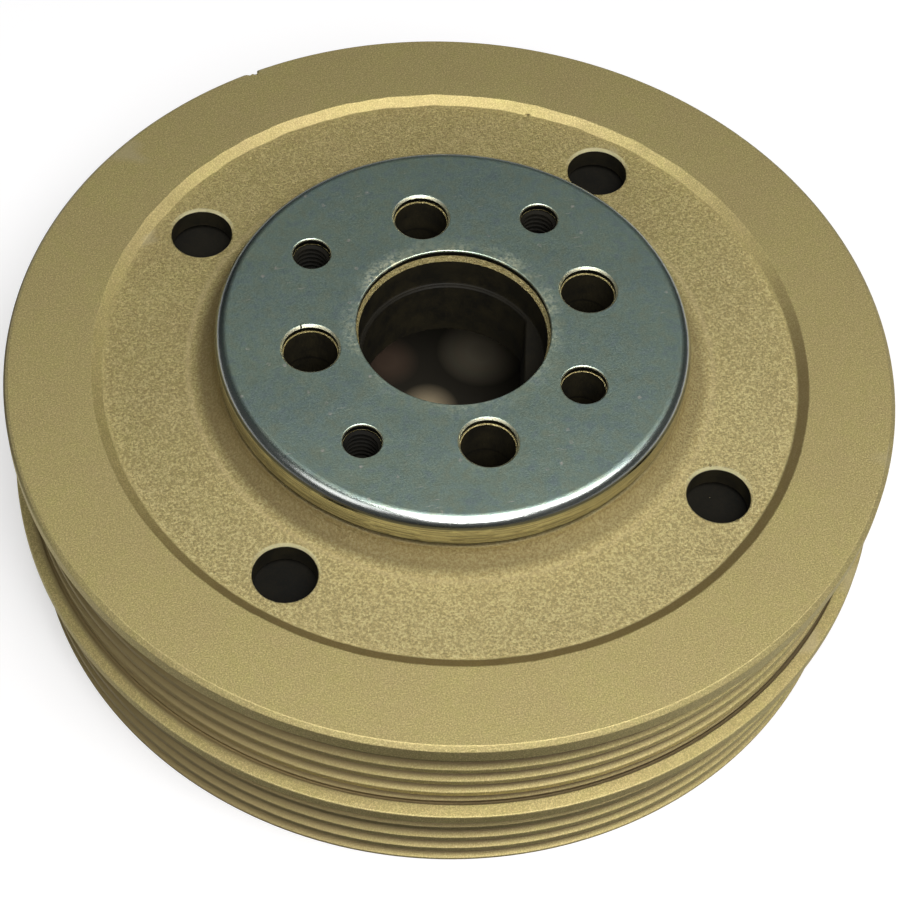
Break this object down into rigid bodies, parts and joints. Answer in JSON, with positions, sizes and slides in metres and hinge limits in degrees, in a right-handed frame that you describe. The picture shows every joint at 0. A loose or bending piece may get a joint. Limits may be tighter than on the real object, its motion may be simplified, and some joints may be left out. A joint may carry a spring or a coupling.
{
  "type": "harmonic balancer",
  "caption": "Crankshaft pulley with two grooved belt bands, a raised collar, a web with round holes and a plated hub plate, carrying a rubber mounted inertia ring.",
  "frame": {"origin": "centre of the rear face of the rim, on which the pulley stands", "axes": "+Z along the crankshaft axis towards the front of the engine; three of the four bolt holes lie on +Y, -X and -Y, and the fourth lies 7.4 degrees from +X towards +Y"},
  "size_m": [0.1424, 0.1424, 0.0477],
  "materials": {
    "gold_paint": "satin",
    "zinc_plate": "satin",
    "dark_iron": "matte",
    "black_rubber": "matte"
  },
  "bodies": {
    "root": {"pulley_casting": "gold_paint", "hub_plate": "zinc_plate", "inertia_ring": "dark_iron", "rubber_ring": "black_rubber"}
  },
  "joints": []
}
